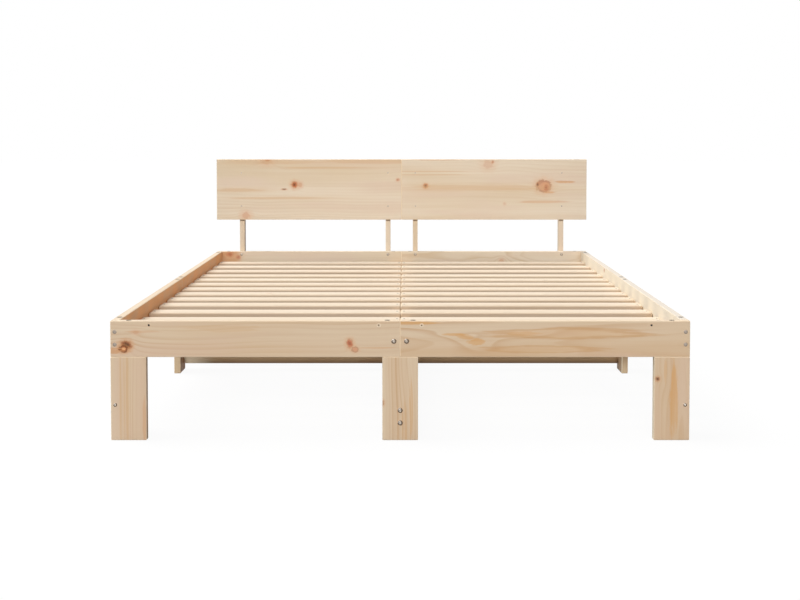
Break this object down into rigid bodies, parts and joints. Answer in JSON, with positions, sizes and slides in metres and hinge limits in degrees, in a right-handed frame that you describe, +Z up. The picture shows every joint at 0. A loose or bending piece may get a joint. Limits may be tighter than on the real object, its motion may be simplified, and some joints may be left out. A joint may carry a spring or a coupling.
{
  "type": "double bed",
  "caption": "Low flat-pack pine double bed frame with a plank headboard on posts, a slatted deck inside the rails, board legs and low crossing stretchers.",
  "frame": {"origin": "on the floor, under the middle of the whole footprint", "axes": "+X across the bed to the right seen from the foot, +Y from the foot to the headboard, +Z up"},
  "size_m": [1.564, 2.1016, 0.711],
  "materials": {
    "pine_frame": "planed, unfinished",
    "pine_slat": "planed, unfinished",
    "pine_panel": "planed, unfinished",
    "pine_post": "planed, unfinished",
    "steel": "zinc plated"
  },
  "bodies": {
    "root": {"bearer_foot": "pine_frame", "bearer_head": "pine_frame", "centre_post": "pine_frame", "cleat_left_foot": "pine_frame", "cleat_left_head": "pine_frame", "cleat_right_foot": "pine_frame", "cleat_right_head": "pine_frame", "cross_stretcher_left": "pine_frame", "cross_stretcher_right": "pine_frame", "foot_centre_leg": "pine_frame", "foot_left_leg_face": "pine_frame", "foot_left_leg_side": "pine_frame", "foot_rail_left": "pine_frame", "foot_rail_right": "pine_frame", "foot_right_leg_face": "pine_frame", "foot_right_leg_side": "pine_frame", "head_centre_leg": "pine_frame", "head_left_leg_face": "pine_frame", "head_left_leg_side": "pine_frame", "head_post_left_inner": "pine_post", "head_post_left_outer": "pine_post", "head_post_right_inner": "pine_post", "head_post_right_outer": "pine_post", "head_rail_left": "pine_frame", "head_rail_right": "pine_frame", "head_right_leg_face": "pine_frame", "head_right_leg_side": "pine_frame", "headboard_left": "pine_panel", "headboard_right": "pine_panel", "left_middle_leg": "pine_frame", "left_rail_foot_half": "pine_frame", "left_rail_head_half": "pine_frame", "long_stretcher_foot": "pine_frame", "long_stretcher_head": "pine_frame", "right_middle_leg": "pine_frame", "right_rail_foot_half": "pine_frame", "right_rail_head_half": "pine_frame", "seam_bolts": "steel", "slat_row_01": "pine_slat", "slat_row_02": "pine_slat", "slat_row_03": "pine_slat", "slat_row_04": "pine_slat", "slat_row_05": "pine_slat", "slat_row_06": "pine_slat", "slat_row_07": "pine_slat", "slat_row_08": "pine_slat", "slat_row_09": "pine_slat", "slat_row_10": "pine_slat", "slat_row_11": "pine_slat", "slat_row_12": "pine_slat", "slat_row_13": "pine_slat", "splice_foot": "pine_frame", "splice_head": "pine_frame", "splice_left": "pine_frame", "splice_right": "pine_frame", "stretcher_bolts": "steel"}
  },
  "joints": []
}
